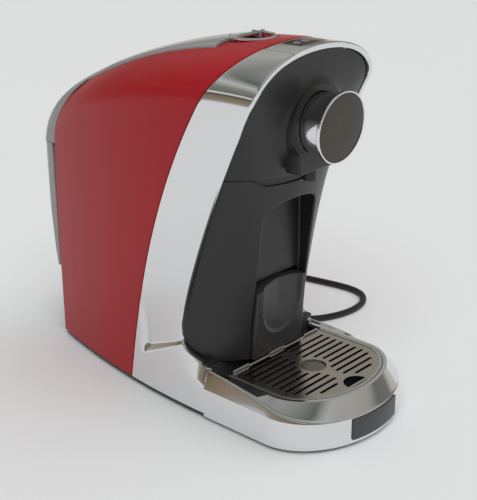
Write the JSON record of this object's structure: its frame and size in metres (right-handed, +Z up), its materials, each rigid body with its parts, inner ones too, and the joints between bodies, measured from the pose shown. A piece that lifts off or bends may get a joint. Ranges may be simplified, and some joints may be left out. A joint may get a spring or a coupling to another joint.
{
  "type": "pod coffee machine",
  "caption": "Slim capsule coffee machine with a chrome front arch, red shell, lift lever, round brew head, rear water tank and drip tray.",
  "frame": {"origin": "middle of the machine's footprint, on the surface it stands on, the mains lead left out", "axes": "+X to the right as seen from the front, +Y to the back, +Z up"},
  "size_m": [0.3142, 0.4332, 0.3268],
  "materials": {
    "red_gloss": "deep red gloss paint",
    "mirror_chrome": "mirror chrome plating",
    "black_satin": "satin black moulded plastic",
    "black_gloss": "gloss black plastic",
    "button_silver": "satin chrome plating",
    "smoky_tank": "smoky translucent plastic",
    "charcoal": "charcoal moulded plastic",
    "steel": "polished stainless steel",
    "cast_aluminium": "die-cast, plain",
    "rubber_black": "matte",
    "cord_black": "satin flexible sheath",
    "white_plastic": "natural moulded plastic",
    "pump_grey": "moulded plastic and lacquered steel",
    "circuit_green": "circuit board lacquer"
  },
  "bodies": {
    "housing": {"red_shell": "red_gloss", "chrome_arch": "mirror_chrome", "rear_panel": "black_satin", "base_plate": "black_satin", "feet": "rubber_black", "base_screws": "steel", "chassis": "charcoal", "front_column": "black_satin", "head_cover": "black_satin", "brew_barrel": "mirror_chrome", "badge_disc": "black_gloss", "coffee_outlet": "black_satin", "lever_pin": "steel", "pin_clips": "steel", "capsule_funnel": "black_satin", "brew_frame": "cast_aluminium", "capsule_holder": "cast_aluminium", "deck_panel": "black_satin", "tank_inlet_seal": "rubber_black", "boiler": "cast_aluminium", "thermostats": "steel", "pump": "pump_grey", "pump_mounts": "rubber_black", "flow_meter": "white_plastic", "feed_hose": "white_plastic", "pressure_hose": "white_plastic", "brew_hose": "white_plastic", "power_board": "circuit_green", "board_screws": "steel", "switch_housing": "black_satin", "cord_gland": "cord_black", "cord_lead": "cord_black", "cord_coil": "cord_black", "mains_plug": "cord_black"},
    "lever": {"lever_cap": "mirror_chrome", "lever_liner": "black_satin", "lever_cams": "steel", "control_panel": "black_gloss", "button_board": "circuit_green"},
    "small_button": {"button_small": "button_silver"},
    "medium_button": {"button_medium": "button_silver"},
    "large_button": {"button_large": "button_silver"},
    "piston": {"brew_piston": "cast_aluminium", "piston_seal": "rubber_black"},
    "bin": {"capsule_bin": "black_satin"},
    "tank": {"tank_body": "smoky_tank", "valve_seat": "white_plastic", "tank_valve_spring": "steel"},
    "valve": {"tank_valve": "white_plastic"},
    "lid": {"tank_lid": "smoky_tank", "bail_pin": "steel"},
    "bail": {"tank_bail": "mirror_chrome"},
    "tray": {"drip_tray": "charcoal", "tray_collar": "mirror_chrome", "label_plate": "charcoal"},
    "grid": {"drip_grid": "steel"},
    "rocker": {"power_switch": "black_gloss"}
  },
  "joints": [
    {"name": "lever_hinge", "type": "hinge", "parent": "housing", "child": "lever", "pos_m": [0, -0.06, 0.307], "axis": [-1, 0, 0], "range_deg": [0, 60]},
    {"name": "piston_slide", "type": "slide", "parent": "housing", "child": "piston", "axis": [0, 1, 0], "range_m": [0, 0.0181]},
    {"name": "small_button_press", "type": "slide", "parent": "lever", "child": "small_button", "axis": [0, 0, -1], "range_m": [0, 0.001], "stiffness_N_per_m": 400, "springref_m": -0.001},
    {"name": "medium_button_press", "type": "slide", "parent": "lever", "child": "medium_button", "axis": [0, 0, -1], "range_m": [0, 0.001], "stiffness_N_per_m": 400, "springref_m": -0.001},
    {"name": "large_button_press", "type": "slide", "parent": "lever", "child": "large_button", "axis": [0, 0, -1], "range_m": [0, 0.001], "stiffness_N_per_m": 400, "springref_m": -0.001},
    {"name": "bin_slide", "type": "slide", "parent": "housing", "child": "bin", "axis": [0, -1, 0], "range_m": [0, 0.075]},
    {"name": "tank_lift", "type": "slide", "parent": "housing", "child": "tank", "axis": [0, 0, 1], "range_m": [0, 0.15]},
    {"name": "valve_slide", "type": "slide", "parent": "tank", "child": "valve", "axis": [0, 0, 1], "range_m": [0, 0.003], "stiffness_N_per_m": 300, "springref_m": -0.002, "deforming": ["tank_valve_spring"]},
    {"name": "lid_lift", "type": "slide", "parent": "tank", "child": "lid", "axis": [0, 0, 1], "range_m": [0, 0.06]},
    {"name": "bail_hinge", "type": "hinge", "parent": "lid", "child": "bail", "pos_m": [0, -0.043, 0.32289], "axis": [-1, 0, 0], "range_deg": [0, 90]},
    {"name": "tray_slide", "type": "slide", "parent": "housing", "child": "tray", "axis": [0, -1, 0], "range_m": [0, 0.11]},
    {"name": "grid_tilt", "type": "hinge", "parent": "tray", "child": "grid", "pos_m": [0, -0.0766, 0.0424], "axis": [-1, 0, 0], "range_deg": [0, 18]},
    {"name": "rocker_tilt", "type": "hinge", "parent": "housing", "child": "rocker", "pos_m": [-0.038, 0.163, 0.052], "axis": [1, 0, 0], "range_deg": [0, 10]}
  ],
  "couplings": [
    {"joint": "piston_slide", "follows": "lever_hinge", "m_per_rad": 0.01719}
  ]
}
